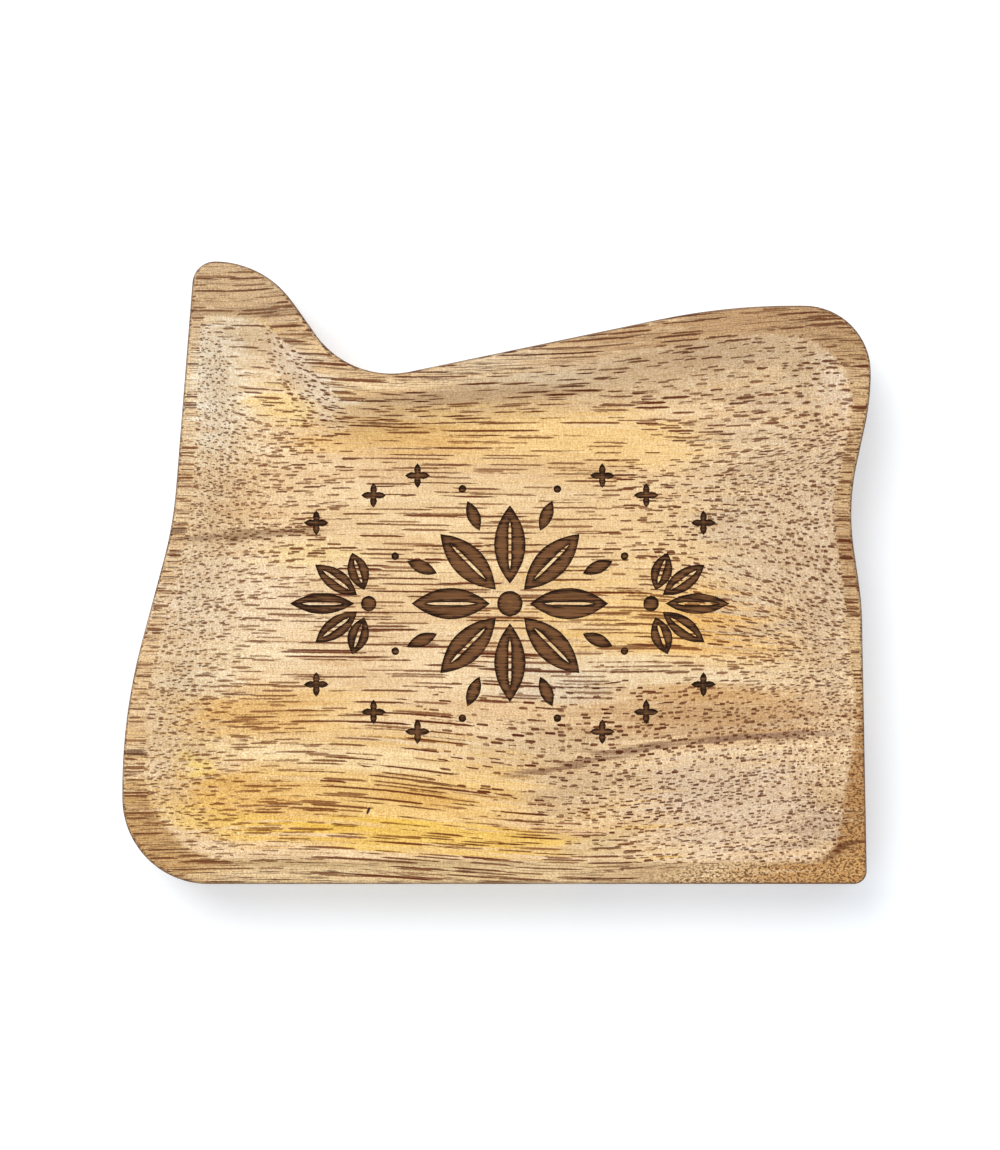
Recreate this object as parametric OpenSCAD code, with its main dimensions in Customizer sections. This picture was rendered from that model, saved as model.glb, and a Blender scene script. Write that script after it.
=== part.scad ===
// Trinket dish: one block of hardwood with a wavy outline and an arm at its back left corner.
// A flat rim runs round a recess with sloping walls and a flat floor.
// A shallow burnt ornament is cut into the floor.
// The origin is at the bottom centre. X runs along the grain and Z points up.

/* [Body] */
// Length of the block along the grain
body_w = 113; // [90:1:150]
// Depth of the block across the grain
body_d = 94; // [80:1:125]
// Thickness of the block
body_h = 15; // [12:0.5:22]
// Rounding of the upper outer edge
arris_r = 0.8; // [0.4:0.1:1.2]
// Rounding of the lower outer edge
foot_r = 1.2; // [0.5:0.1:1.4]

/* [Recess] */
// Usual width of the flat rim
rim_w = 3; // [2:0.1:4]
// Width of the rim at the end of the arm
arm_rim_w = 8.5; // [5:0.1:12]
// Depth of the recess
recess_depth = 6; // [4:0.1:8.5]
// Width of the sloping wall along the front and back, from the rim to the flat floor
wall_run = 10; // [7:0.1:12]
// Width of the gentler wall at the two ends, which cuts across the grain
end_run = 15; // [10:0.1:17]
// How early the wall drops: 1 is an even curve, and less is steeper at the rim
wall_lean = 0.7; // [0.6:0.05:1]

/* [Ornament] */
// Depth of the burnt cuts
burn_depth = 0.4; // [0.2:0.1:0.8]
// Radius of the rosette, to the tips of its petals
rosette_r = 15; // [10:0.5:16]
// Number of petals in the rosette
petal_count = 8; // [6:1:10]
// Greatest width of a petal
petal_w = 4.8; // [3:0.1:5.5]
// Width of the bare rib left standing along the middle of a petal
rib_w = 0.4; // [0.3:0.05:0.8]
// Length of the middle blade in the two side fans
fan_r = 12; // [8:0.5:13]
// Greatest width of a fan blade
blade_w = 3.2; // [2:0.1:3.6]
// Number of blades in a fan
blade_count = 5; // [3:2:5]
// Distance from the middle of the rosette to the root of a fan
fan_offset = 21.5; // [20:0.5:24]
// Radius of the small round dots
dot_r = 0.6; // [0.4:0.05:0.8]
// Radius of the small four-pointed stars
star_r = 1.9; // [1:0.1:2.4]

/* [Smoothness] */
// Largest angle that one facet of an outline turns through
facet_angle = 7; // [4:0.5:10]
// Number of bands down the recess wall
wall_bands = 12; // [8:1:14]
// Number of bands round an outer edge
edge_bands = 3; // [2:1:4]
// Number of facets along one side of a petal
blade_bands = 8; // [5:1:10]

/* [Hidden] */
// How far a cut reaches past the face that it opens
overrun = 1;
// Tightest radius that an inset corner keeps
least_r = 0.3;
floor_z = body_h - recess_depth;
body_size = [body_w, body_d];

// Corners of the outline, anticlockwise from the front left.
// Each row is a place along the length and depth, then a corner radius as a share of the length.
outline_shares = [
    [0.000, 0.000, 0.115],
    [0.995, 0.000, 0.017],
    [0.991, 0.262, 0.400],
    [0.988, 0.452, 0.400],
    [0.969, 0.607, 0.320],
    [1.000, 0.778, 0.330],
    [1.000, 0.929, 0.089],
    [0.806, 0.929, 0.870],
    [0.305, 0.803, 0.125],
    [0.189, 1.000, 0.127],
    [0.096, 1.000, 0.030],
    [0.068, 0.577, 0.530],
    [0.000, 0.272, 0.770]
];
// Steps from those corners to the brink of the recess, as shares of the rim's width.
// The third value is the brink's own corner radius, as a share of the length.
brink_shares = [
    [1.14, 1.18, 0.120],
    [-1.58, 1.08, 0.047],
    [-0.35, 0.00, 0.170],
    [-0.85, -0.10, 0.270],
    [-0.73, -0.10, 0.160],
    [-0.94, -0.63, 0.130],
    [-0.94, -1.39, 0.093],
    [0.55, -1.39, 0.530],
    [-0.17, -0.97, 0.053],
    [-0.12, 0.00, 0.033],
    [0.36, 0.00, 0.011],
    [0.96, 0.74, 0.330],
    [1.14, 0.75, 0.400]
];
// Rows of brink_shares at the end of the arm, where arm_rim_w sets the step along the depth
arm_corners = [9, 10];
// Steps from the brink to the edge of the flat floor, as shares of the end wall's run and the wall's run.
// The third value is the floor's own corner radius, as a share of the length.
floor_shares = [
    [1.00, 1.00, 0.110],
    [-1.00, 1.00, 0.090],
    [-1.00, 0.00, 0.170],
    [-1.00, 0.00, 0.270],
    [-1.00, 0.00, 0.200],
    [-1.00, -0.86, 0.080],
    [-1.00, -1.20, 0.090],
    [-0.60, -1.15, 0.400],
    [-0.38, -0.90, 0.100],
    [0.14, -0.95, 0.033],
    [0.42, -0.95, 0.024],
    [0.84, 0.05, 0.330],
    [1.00, 0.13, 0.300]
];
// Middle of the ornament along the length and depth
ornament_shares = [0.518, 0.450];

// Parts of the ornament, as shares of the sizes that they follow
petal_start_share = 0.20;
rib_length_share = 0.62;
centre_share = 0.13;
drop_start_share = 0.80;
drop_end_share = 1.13;
drop_w_share = 0.42;
ring_share = 1.26;
blade_spread = 36;
blade_start_share = 0.18;
blade_fall_share = 0.16;
root_share = 0.10;
star_waist_share = 0.34;
// Places of the stars in one quarter, as shares of fan_offset plus fan_r, and of rosette_r
star_shares = [
    [0.62, 1.10],
    [0.88, 0.82],
    [0.42, 1.30]
];

function corner(c, i) = c[(i + len(c)) % len(c)];
function spot(c, i) = [corner(c, i).x, corner(c, i).y];
function unit(v) = v / norm(v);
function left_of(v) = [-v.y, v.x];
function spin(v, w) = [v.x * cos(w) - v.y * sin(w), v.x * sin(w) + v.y * cos(w)];
function side(c, i) = spot(c, i + 1) - spot(c, i);
function turn(c, i) = let (a = side(c, i - 1), b = side(c, i)) atan2(a.x * b.y - a.y * b.x, a * b);
function reach(c, i) = corner(c, i)[2] * abs(tan(turn(c, i) / 2));

// A corner's radius shrinks where its two sides are too short for it
function fit(c, i) = min(
    1,
    norm(side(c, i - 1)) / (reach(c, i - 1) + reach(c, i)),
    norm(side(c, i)) / (reach(c, i) + reach(c, i + 1))
);

// Points round one corner
function arc(c, i, steps) = let (
    w = turn(c, i),
    along = unit(side(c, i - 1)),
    start = spot(c, i) - along * reach(c, i) * fit(c, i),
    centre = start + sign(w) * corner(c, i)[2] * fit(c, i) * left_of(along)
) [for (k = [0:steps]) centre + spin(start - centre, w * k / steps)];

// The same corners moved in by a distance
function inset(c, d) = [for (i = [0:len(c) - 1]) let (
    before = left_of(unit(side(c, i - 1))),
    after = left_of(unit(side(c, i))),
    place = spot(c, i) + d * (before + after) / (1 + before * after)
) [place.x, place.y, max(least_r, corner(c, i)[2] - sign(turn(c, i)) * d)]];

outer_corners = [for (s = outline_shares) [
    (s.x - 1 / 2) * body_w,
    (s.y - 1 / 2) * body_d,
    s[2] * body_w
]];
brink_corners = [for (i = [0:len(brink_shares) - 1]) let (
    s = brink_shares[i],
    at_arm = len([for (a = arm_corners) if (a == i) a]) > 0
) [
    outer_corners[i].x + s.x * rim_w,
    outer_corners[i].y + (at_arm ? -arm_rim_w : s.y * rim_w),
    s[2] * body_w
]];
floor_corners = [for (i = [0:len(floor_shares) - 1]) let (s = floor_shares[i]) [
    brink_corners[i].x + s.x * end_run,
    brink_corners[i].y + s.y * wall_run,
    s[2] * body_w
]];

// Every ring has the same number of points, so that neighbours join one to one
corner_steps = [for (i = [0:len(outer_corners) - 1])
    max(edge_bands, ceil(abs(turn(outer_corners, i)) / facet_angle))
];
function outline(c) = [for (i = [0:len(c) - 1]) each arc(c, i, corner_steps[i])];
function lift(points, z) = [for (p = points) [p.x, p.y, z]];

brink = outline(brink_corners);
flat_floor = outline(floor_corners);

// Rings of the skin, up the outside, over the rim and down to the floor
foot_rings = [for (k = [0:edge_bands]) let (w = 90 * k / edge_bands)
    lift(outline(inset(outer_corners, foot_r * (1 - sin(w)))), foot_r * (1 - cos(w)))
];
arris_rings = [for (k = [0:edge_bands]) let (w = 90 * k / edge_bands)
    lift(outline(inset(outer_corners, arris_r * (1 - cos(w)))), body_h - arris_r * (1 - sin(w)))
];
wall_rings = [for (k = [0:wall_bands]) let (
    run = pow(k / wall_bands, 1 / wall_lean),
    drop = pow(sin(90 * k / wall_bands), 2)
) lift(brink * (1 - run) + flat_floor * run, body_h - recess_depth * drop)];
skin_rings = concat(foot_rings, arris_rings, wall_rings);

module skin(rings) {
    n = len(rings[0]);
    top = len(rings) - 1;
    walls = [for (k = [0:top - 1]) for (i = [0:n - 1]) let (
        j = (i + 1) % n,
        a = k * n,
        b = a + n
    ) each [[a + i, b + i, b + j], [a + i, b + j, a + j]]];
    base = [for (i = [0:n - 1]) i];
    cap = [for (i = [0:n - 1]) top * n + n - 1 - i];
    polyhedron(points = [for (ring = rings) each ring], faces = concat([base], walls, [cap]));
}

// A pointed blade that starts at the origin and lies along X
module blade(length, width) {
    edge = [for (k = [0:blade_bands]) let (t = k / blade_bands) [length * t, width * 2 * t * (1 - t)]];
    back = [for (k = [1:blade_bands - 1]) edge[blade_bands - k]];
    polygon(concat(edge, [for (p = back) [p.x, -p.y]]));
}

// A blade with a bare rib left standing along its middle
module ribbed_blade(length, width) {
    rib_length = length * rib_length_share;
    difference() {
        blade(length, width);
        translate([(length - rib_length) / 2, -rib_w / 2]) square([rib_length, rib_w]);
    }
}

module star() {
    polygon([for (k = [0:7]) let (r = k % 2 == 0 ? star_r : star_r * star_waist_share)
        [r * cos(45 * k), r * sin(45 * k)]
    ]);
}

module rosette() {
    step = 360 / petal_count;
    start = rosette_r * petal_start_share;
    drop_length = rosette_r * (drop_end_share - drop_start_share);
    circle(r = rosette_r * centre_share, $fn = 48);
    for (k = [0:petal_count - 1]) {
        rotate(step * k) translate([start, 0]) ribbed_blade(rosette_r - start, petal_w);
        rotate(step * (k + 1 / 2)) {
            translate([rosette_r * drop_start_share, 0]) blade(drop_length, petal_w * drop_w_share);
            translate([rosette_r * ring_share, 0]) circle(r = dot_r, $fn = 24);
        }
    }
}

// A fan of blades that opens along X
module fan() {
    middle = (blade_count - 1) / 2;
    circle(r = fan_r * root_share, $fn = 32);
    for (k = [-middle:middle]) {
        length = fan_r * (1 - blade_fall_share * abs(k));
        start = fan_r * blade_start_share;
        rotate(blade_spread * k) translate([start, 0]) ribbed_blade(length - start, blade_w);
    }
}

module ornament() {
    rosette();
    for (s = [1, -1]) scale([s, 1]) {
        translate([fan_offset, 0]) fan();
        for (t = [1, -1], p = star_shares)
            translate([p.x * (fan_offset + fan_r), t * p.y * rosette_r]) star();
    }
}

module dish_body() {
    place = [for (i = [0:1]) (ornament_shares[i] - 1 / 2) * body_size[i]];
    color("burlywood") difference() {
        skin(skin_rings);
        translate([place.x, place.y, floor_z - burn_depth])
            linear_extrude(burn_depth + overrun) ornament();
    }
}

dish_body();
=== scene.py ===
# Small hardwood trinket dish, seen from straight above on a white table.
# Everything is in millimetres until the mesh is made.
import random
from functools import partial
from math import atan2, ceil, copysign, cos, pi, radians, sin, tan

import bpy
import bmesh
import numpy as np
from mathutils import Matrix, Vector, noise
from mathutils.geometry import delaunay_2d_cdt
from numpy.linalg import norm


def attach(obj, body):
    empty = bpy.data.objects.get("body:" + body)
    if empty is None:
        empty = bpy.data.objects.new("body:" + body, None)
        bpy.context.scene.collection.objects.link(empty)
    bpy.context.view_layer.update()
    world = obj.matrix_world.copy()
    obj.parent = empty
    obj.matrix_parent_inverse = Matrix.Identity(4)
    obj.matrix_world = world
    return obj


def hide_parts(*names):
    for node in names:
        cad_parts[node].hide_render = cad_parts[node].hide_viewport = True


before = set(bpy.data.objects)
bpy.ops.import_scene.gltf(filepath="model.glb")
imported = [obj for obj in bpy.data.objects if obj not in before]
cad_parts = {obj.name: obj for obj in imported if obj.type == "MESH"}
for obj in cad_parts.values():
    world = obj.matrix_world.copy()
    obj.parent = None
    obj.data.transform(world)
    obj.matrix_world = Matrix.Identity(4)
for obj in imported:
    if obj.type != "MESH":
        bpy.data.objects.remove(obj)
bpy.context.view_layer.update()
mm = 0.001


def addObject(name, data):
    made = bpy.data.objects.new(name, data)
    bpy.context.collection.objects.link(made)
    return made


# Outer shape of the block
block = {
    "length": 113.0,
    "depth": 94.0,
    "height": 15.0,
    "arris": 0.8,  # rounding of the upper edge
    "foot": 1.2,  # rounding of the lower edge
    "sandingWave": (0.07, 14.0),  # how far hand sanding strayed, and over what length
    "sandingRise": 0.9,  # how far the sanding noise moves on from foot to edge
    # The dark line on the rounded upper edge is partly darker sanded wood and partly painted shade
    # where the rounding turns away from the light
    "darkEdgeAndShadeAt": 0.35,  # where the dark line lies on the rounded upper edge, in radians
    "darkEdgeAndShadeReach": 0.75,
    "leastRadius": 0.3,  # the tightest corner when the outline moves inwards
    # Corners, anticlockwise from the front left: shares of length and depth, radius as share of length
    "corners": [
        (0, 0, 0.115), (0.995, 0, 0.017), (0.991, 0.262, 0.4), (0.988, 0.452, 0.4),
        (0.969, 0.607, 0.32), (1, 0.778, 0.33), (1, 0.929, 0.089), (0.806, 0.929, 0.87),
        (0.305, 0.803, 0.125), (0.189, 1, 0.127), (0.096, 1, 0.03), (0.068, 0.577, 0.53),
        (0, 0.272, 0.77),
    ],
    "pointGap": 0.62,  # spacing of mesh points round the outline
}

# The hollow: steps from the outline to its brink, and from the brink to the flat floor
recess = {
    "rimWidth": 3.0,
    "armRimWidth": 8.5,
    "armCorners": (9, 10),
    "deep": 6.0,
    "wallRun": 10.0,  # along the front and back
    "endRun": 15.0,  # gentler walls at the two ends, which cut across the grain
    "wallLean": 0.7,
    # How far, and over what length: the brink strays, the rim sags, the tool marks the walls
    "brinkWander": (0.16, 9.0),
    "rimDip": (0.03, 11.0),
    "scrape": (0.1, 6.0),
    # For each corner of the outline: steps along X and Y in rim widths, radius as share of length
    "brink": [
        (1.14, 1.18, 0.12), (-1.58, 1.08, 0.047), (-0.35, 0, 0.17), (-0.85, -0.1, 0.27),
        (-0.73, -0.1, 0.16), (-0.94, -0.63, 0.13), (-0.94, -1.39, 0.093), (0.55, -1.39, 0.53),
        (-0.17, -0.97, 0.053), (-0.12, 0, 0.033), (0.36, 0, 0.011), (0.96, 0.74, 0.33),
        (1.14, 0.75, 0.4),
    ],
    # The same from the brink on, with steps in runs of the wall
    "floor": [
        (1, 1, 0.11), (-1, 1, 0.09), (-1, 0, 0.17), (-1, 0, 0.27),
        (-1, 0, 0.2), (-1, -0.86, 0.08), (-1, -1.2, 0.09), (-0.6, -1.15, 0.4),
        (-0.38, -0.9, 0.1), (0.14, -0.95, 0.033), (0.42, -0.95, 0.024), (0.84, 0.05, 0.33),
        (1, 0.13, 0.3),
    ],
}
# Bands of faces from the foot up, over the rim and down into the hollow
bands = {"foot": 5, "side": 8, "arris": 7, "rim": 6, "wall": 34}
farOutside = 20.0  # stands for the gap to the brink where there is no rim
# For the noises, and for the loose points of the mesh
seeds = {
    "side": 3.1, "brink": 7.7, "rim": 4.4, "wall": 9.3,
    "ragged": 2.2, "floor": 1.5, "burn": 8.5,
    "basePoints": 11, "floorPoints": 5, "cutPoints": 7,
}


def unit(v):
    return v / norm(v)


def leftOf(v):
    return np.array([-v[1], v[0]])


def turned(v, angle):
    c, s = cos(angle), sin(angle)
    return np.array([v[0] * c - v[1] * s, v[0] * s + v[1] * c])


def sideOf(corners, i):
    n = len(corners)
    return np.array(corners[(i + 1) % n][:2]) - np.array(corners[i % n][:2])


def turnAt(corners, i):
    a, b = sideOf(corners, i - 1), sideOf(corners, i)
    return atan2(a[0] * b[1] - a[1] * b[0], a @ b)


def reachAt(corners, i):
    return corners[i % len(corners)][2] * abs(tan(turnAt(corners, i) / 2))


def roundedLoop(corners, fineAngle=radians(1.5)):
    # Closed run of points through rounded corners, with the place of each corner's middle
    points, middles = [], []
    for i in range(len(corners)):
        shrink = min(
            1,
            norm(sideOf(corners, i - 1)) / (reachAt(corners, i - 1) + reachAt(corners, i)),
            norm(sideOf(corners, i)) / (reachAt(corners, i) + reachAt(corners, i + 1)),
        )
        angle = turnAt(corners, i)
        along = unit(sideOf(corners, i - 1))
        start = np.array(corners[i][:2]) - along * reachAt(corners, i) * shrink
        centre = start + copysign(corners[i][2] * shrink, angle) * leftOf(along)
        steps = 2 * max(3, ceil(abs(angle) / fineAngle / 2))
        middles.append(len(points) + steps // 2)
        points += [centre + turned(start - centre, angle * k / steps) for k in range(steps + 1)]
    return np.array(points), middles


def movedIn(corners, distance):
    moved = []
    for i, (x, y, radius) in enumerate(corners):
        before, after = leftOf(unit(sideOf(corners, i - 1))), leftOf(unit(sideOf(corners, i)))
        place = np.array([x, y]) + distance * (before + after) / (1 + before @ after)
        radius -= copysign(distance, turnAt(corners, i))
        moved.append((place[0], place[1], max(block["leastRadius"], radius)))
    return moved


def stretches(corners):
    # The loop cut at the middle of each corner, so that rings match stretch by stretch
    points, middles = roundedLoop(corners)
    n = len(points)
    for i, first in enumerate(middles):
        last = middles[(i + 1) % len(middles)]
        last += n if last <= first else 0
        yield points[[k % n for k in range(first, last + 1)]]


def lengthsAlong(points):
    return np.concatenate([[0], np.cumsum(norm(np.diff(points, axis=0), axis=1))])


def ring(corners, counts):
    parts = []
    for points, count in zip(stretches(corners), counts):
        travelled = lengthsAlong(points)
        at = travelled[-1] * np.arange(count) / count
        parts.append(np.stack([np.interp(at, travelled, points[:, k]) for k in (0, 1)], axis=1))
    return np.concatenate(parts)


def lifted(points, z):
    return np.column_stack([points, np.full(len(points), z)])


def wander(points, amount, scale, seed):
    # Smooth noise for each point, from -amount to amount
    return np.array([amount * noise.noise(Vector((p[0] / scale, p[1] / scale, seed))) for p in points])


def ringNormals(points):
    along = np.roll(points, -1, axis=0) - np.roll(points, 1, axis=0)
    along /= norm(along, axis=1)[:, None]
    return np.column_stack([-along[:, 1], along[:, 0]])


outerCorners = [
    ((x - 0.5) * block["length"], (y - 0.5) * block["depth"], r * block["length"])
    for x, y, r in block["corners"]
]
brinkCorners = []
for i, (x, y, r) in enumerate(recess["brink"]):
    inward = -recess["armRimWidth"] if i in recess["armCorners"] else y * recess["rimWidth"]
    brinkCorners.append((
        outerCorners[i][0] + x * recess["rimWidth"],
        outerCorners[i][1] + inward,
        r * block["length"],
    ))
floorCorners = [
    (brink[0] + x * recess["endRun"], brink[1] + y * recess["wallRun"], r * block["length"])
    for brink, (x, y, r) in zip(brinkCorners, recess["floor"])
]
counts = [
    max(4, ceil(lengthsAlong(points)[-1] / block["pointGap"])) for points in stretches(outerCorners)
]
floorHeight = block["height"] - recess["deep"]


def skinRings():
    # Each ring is (points, side or top, how far outside the brink, strength of the dark edge line)
    rings = []
    outer = ring(outerCorners, counts)
    for k in range(bands["foot"] + 1):
        w = pi / 2 * k / bands["foot"]
        flat = ring(movedIn(outerCorners, block["foot"] * (1 - sin(w))), counts)
        rings.append((lifted(flat, block["foot"] * (1 - cos(w))), "side", farOutside, 0.0))
    inward = ringNormals(outer)
    for k in range(1, bands["side"]):
        share = k / bands["side"]
        z = block["foot"] + (block["height"] - block["foot"] - block["arris"]) * share
        level = seeds["side"] + block["sandingRise"] * share
        amount, scale = block["sandingWave"]
        wave = np.maximum(0.5 * amount + wander(outer, amount, scale, level), 0) * sin(pi * share)
        rings.append((lifted(outer + inward * wave[:, None], z), "side", farOutside, 0.0))
    for k in range(bands["arris"] + 1):
        w = pi / 2 * k / bands["arris"]
        inset = block["arris"] * (1 - cos(w))
        flat = ring(movedIn(outerCorners, inset), counts)
        z = block["height"] - block["arris"] * (1 - sin(w))
        line = 1 - abs(w - block["darkEdgeAndShadeAt"]) / block["darkEdgeAndShadeReach"]
        rings.append((lifted(flat, z), "side", farOutside, max(0.0, line)))
    lip = rings[-1][0][:, :2]
    brink = ring(brinkCorners, counts)
    stray = wander(brink, *recess["brinkWander"], seeds["brink"])
    brink = brink + ringNormals(brink) * stray[:, None]
    gap = norm(lip - brink, axis=1)
    for k in range(1, bands["rim"]):
        share = k / bands["rim"]
        depth, scale = recess["rimDip"]
        dip = depth * sin(pi * share) * (1 + wander(lip, 1, scale, seeds["rim"]))
        points = lifted(lip * (1 - share) + brink * share, block["height"])
        points[:, 2] -= dip
        rings.append((points, "top", gap * (1 - share), 0.0))
    floor = ring(floorCorners, counts)
    run = norm(floor - brink, axis=1)
    for k in range(bands["wall"] + 1):
        share = (k / bands["wall"]) ** (1 / recess["wallLean"])
        drop = sin(pi / 2 * k / bands["wall"]) ** 2
        points = lifted(brink * (1 - share) + floor * share, block["height"] - recess["deep"] * drop)
        scrape = wander(points, *recess["scrape"], seeds["wall"] + share)
        points[:, 2] += scrape * sin(pi * share)
        rings.append((points, "top", -run * share, 0.0))
    return rings


# Burnt ornament in the floor: a rosette, two side fans, and loose dots and stars
ornament = {
    "place": (0.518, 0.45),  # share of length and depth
    "burnDepth": 0.4,
    "wallInset": 0.09,
    "ragged": (0.055, 0.45),  # how far the edges stray, and over what length
    # Straight steps along each shape
    "steps": {"petal": 15, "drop": 9, "blade": 12, "rib": 10, "centre": 40, "dot": 16, "root": 24},
    "rosetteRadius": 15.0,
    "petals": 8,
    "petalWidth": 4.8,
    "petalStart": 0.2,  # a share of the radius, like the other starts, ends and rings
    "ribLength": 0.62,  # share of the petal's length
    "ribWidth": 0.4,
    "ribTip": (5, 0.7),  # how soon and how roundly a rib's ends draw out
    "centre": 0.13,
    "dropStart": 0.8,
    "dropEnd": 1.13,
    "dropWidth": 0.42,
    "dotRing": 1.26,
    "dotRadius": 0.6,
    "fanRadius": 12.0,
    "fanOffset": 21.5,
    "bladeWidth": 3.2,
    "blades": 5,
    "bladeSpread": 36,
    "bladeStart": 0.18,
    "bladeFall": 0.16,
    "fanRoot": 0.1,
    "starRadius": 1.9,
    "starWaist": 0.34,
    "starTips": 4,
    "starSteps": (0, 0.34, 0.67),  # shares of the way from tip to waist and back
    # Shares of the fan's reach along X and of the rosette's radius along Y
    "stars": [(0.62, 1.1), (0.88, 0.82), (0.42, 1.3)],
}


def bladeLoop(length, width, steps):
    t = np.arange(steps + 1) / steps
    half = width * 2 * t * (1 - t)
    upper = np.column_stack([length * t, half])
    return np.concatenate([np.column_stack([length * t, -half]), upper[-2:0:-1]])


def ribLoop(length, rib):
    # A bare rib along the middle, with drawn-out ends
    soon, roundly = ornament["ribTip"]
    long = length * ornament["ribLength"]
    t = np.linspace(0, 1, ornament["steps"]["rib"] + 1)
    half = rib / 2 * np.minimum(1, soon * np.minimum(t, 1 - t)) ** roundly
    x = (length - long) / 2 + long * t
    lower, upper = np.column_stack([x, -half]), np.column_stack([x, half])
    return np.concatenate([lower, upper[-2:0:-1]])


def discLoop(radius, steps):
    w = 2 * pi * np.arange(steps) / steps
    return radius * np.column_stack([np.cos(w), np.sin(w)])


def starLoop(radius, waist):
    points = []
    tips = ornament["starTips"]
    for k in range(2 * tips):
        here, after = (radius, waist) if k % 2 == 0 else (waist, radius)
        for share in ornament["starSteps"]:
            w = radians(180 / tips * (k + share))
            points.append([(here * (1 - share) + after * share) * f(w) for f in (cos, sin)])
    return np.array(points)


def laid(loop, out=0.0, spin=0.0, root=(0.0, 0.0), flip=1):
    w = radians(spin)
    x, y = loop[:, 0] + out, loop[:, 1]
    points = np.column_stack([
        x * cos(w) - y * sin(w) + root[0],
        x * sin(w) + y * cos(w) + root[1],
    ])
    points[:, 0] *= flip
    return points if flip > 0 else points[::-1]


def ornamentLoops():
    o = ornament
    steps = o["steps"]
    cuts, ribs = [], []
    radius = o["rosetteRadius"]
    step = 360 / o["petals"]
    start = radius * o["petalStart"]
    cuts.append(discLoop(radius * o["centre"], steps["centre"]))
    for k in range(o["petals"]):
        cuts.append(laid(bladeLoop(radius - start, o["petalWidth"], steps["petal"]), start, step * k))
        ribs.append(laid(ribLoop(radius - start, o["ribWidth"]), start, step * k))
        half = step * (k + 0.5)
        dropLength = radius * (o["dropEnd"] - o["dropStart"])
        drop = bladeLoop(dropLength, o["petalWidth"] * o["dropWidth"], steps["drop"])
        cuts.append(laid(drop, radius * o["dropStart"], half))
        cuts.append(laid(discLoop(o["dotRadius"], steps["dot"]), radius * o["dotRing"], half))
    middle = (o["blades"] - 1) // 2
    for flip in (1, -1):
        root = (o["fanOffset"], 0.0)
        cuts.append(laid(discLoop(o["fanRadius"] * o["fanRoot"], steps["root"]), root=root, flip=flip))
        for k in range(-middle, middle + 1):
            begin = o["fanRadius"] * o["bladeStart"]
            length = o["fanRadius"] * (1 - o["bladeFall"] * abs(k)) - begin
            spin = o["bladeSpread"] * k
            blade = bladeLoop(length, o["bladeWidth"], steps["blade"])
            cuts.append(laid(blade, begin, spin, root, flip))
            ribs.append(laid(ribLoop(length, o["ribWidth"]), begin, spin, root, flip))
        for up in (1, -1):
            for x, y in o["stars"]:
                starRoot = (x * (o["fanOffset"] + o["fanRadius"]), up * y * radius)
                star = starLoop(o["starRadius"], o["starRadius"] * o["starWaist"])
                cuts.append(laid(star, root=starRoot, flip=flip))
    middleOf = (np.array(o["place"]) - 0.5) * (block["length"], block["depth"])
    ragged = []
    for loop in cuts:
        loop = loop + middleOf
        stray = wander(loop, *o["ragged"], seeds["ragged"])
        ragged.append(loop + ringNormals(loop) * stray[:, None])
    return ragged, [loop + middleOf for loop in ribs]


def insideLoop(points, loop):
    # Even-odd test for many points at once
    inside = np.zeros(len(points), bool)
    for a, b in zip(loop, np.roll(loop, -1, axis=0)):
        crosses = (a[1] > points[:, 1]) != (b[1] > points[:, 1])
        slope = (b[0] - a[0]) / (b[1] - a[1]) if b[1] != a[1] else 0.0
        inside ^= crosses & (points[:, 0] < a[0] + slope * (points[:, 1] - a[1]))
    return inside


def distanceTo(points, loops):
    # Distance from each point to the nearest side of any loop
    nearest = np.full(len(points), 1e9)
    for loop in loops:
        for a, b in zip(loop, np.roll(loop, -1, axis=0)):
            along = b - a
            t = np.clip((points - a) @ along / max(along @ along, 1e-12), 0, 1)
            nearest = np.minimum(nearest, norm(points - (a + t[:, None] * along), axis=1))
    return nearest


# How finely the flat parts are meshed, in mm
meshing = {
    "baseGap": 3.5,
    "baseClear": 1.2,
    "floorGap": 1.15,
    "floorClear": 0.5,
    "cutGap": 0.42,
    "cutClear": 0.13,
    "jitter": (0.3, 0.7),  # where in its cell a loose point may lie
    "burnReach": 3.0,  # longest distance kept from a cut's edge
    # Unevenness of the floor and the cuts: height, lengths along X and Y
    "floorWave": (0.03, 7.0, 7.0),
    "burnRough": (0.05, 2.5, 0.5),
    "sharpAngle": 48.0,
}


def grid(loop, gap, seed):
    # Jittered points inside a loop
    draw = random.Random(seed)
    low, high = loop.min(axis=0), loop.max(axis=0)
    points = []
    for i in range(int((high[0] - low[0]) / gap) + 1):
        for j in range(int((high[1] - low[1]) / gap) + 1):
            cell = [k + draw.uniform(*meshing["jitter"]) for k in (i, j)]
            points.append(low + gap * np.array(cell))
    points = np.array(points)
    return points[insideLoop(points, loop)]


def triangulate(loops, extra):
    # Triangles as indices into the loops' points followed by the extra ones
    points = np.concatenate(loops + [extra])
    edges, start = [], 0
    for loop in loops:
        n = len(loop)
        edges += [(start + k, start + (k + 1) % n) for k in range(n)]
        start += n
    made = delaunay_2d_cdt([Vector(p) for p in points], edges, [], 1, 1e-6)  # 1: only inside the loops
    source = [origins[0] for origins in made[3]]
    return points, [[source[v] for v in face] for face in made[2]]


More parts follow.
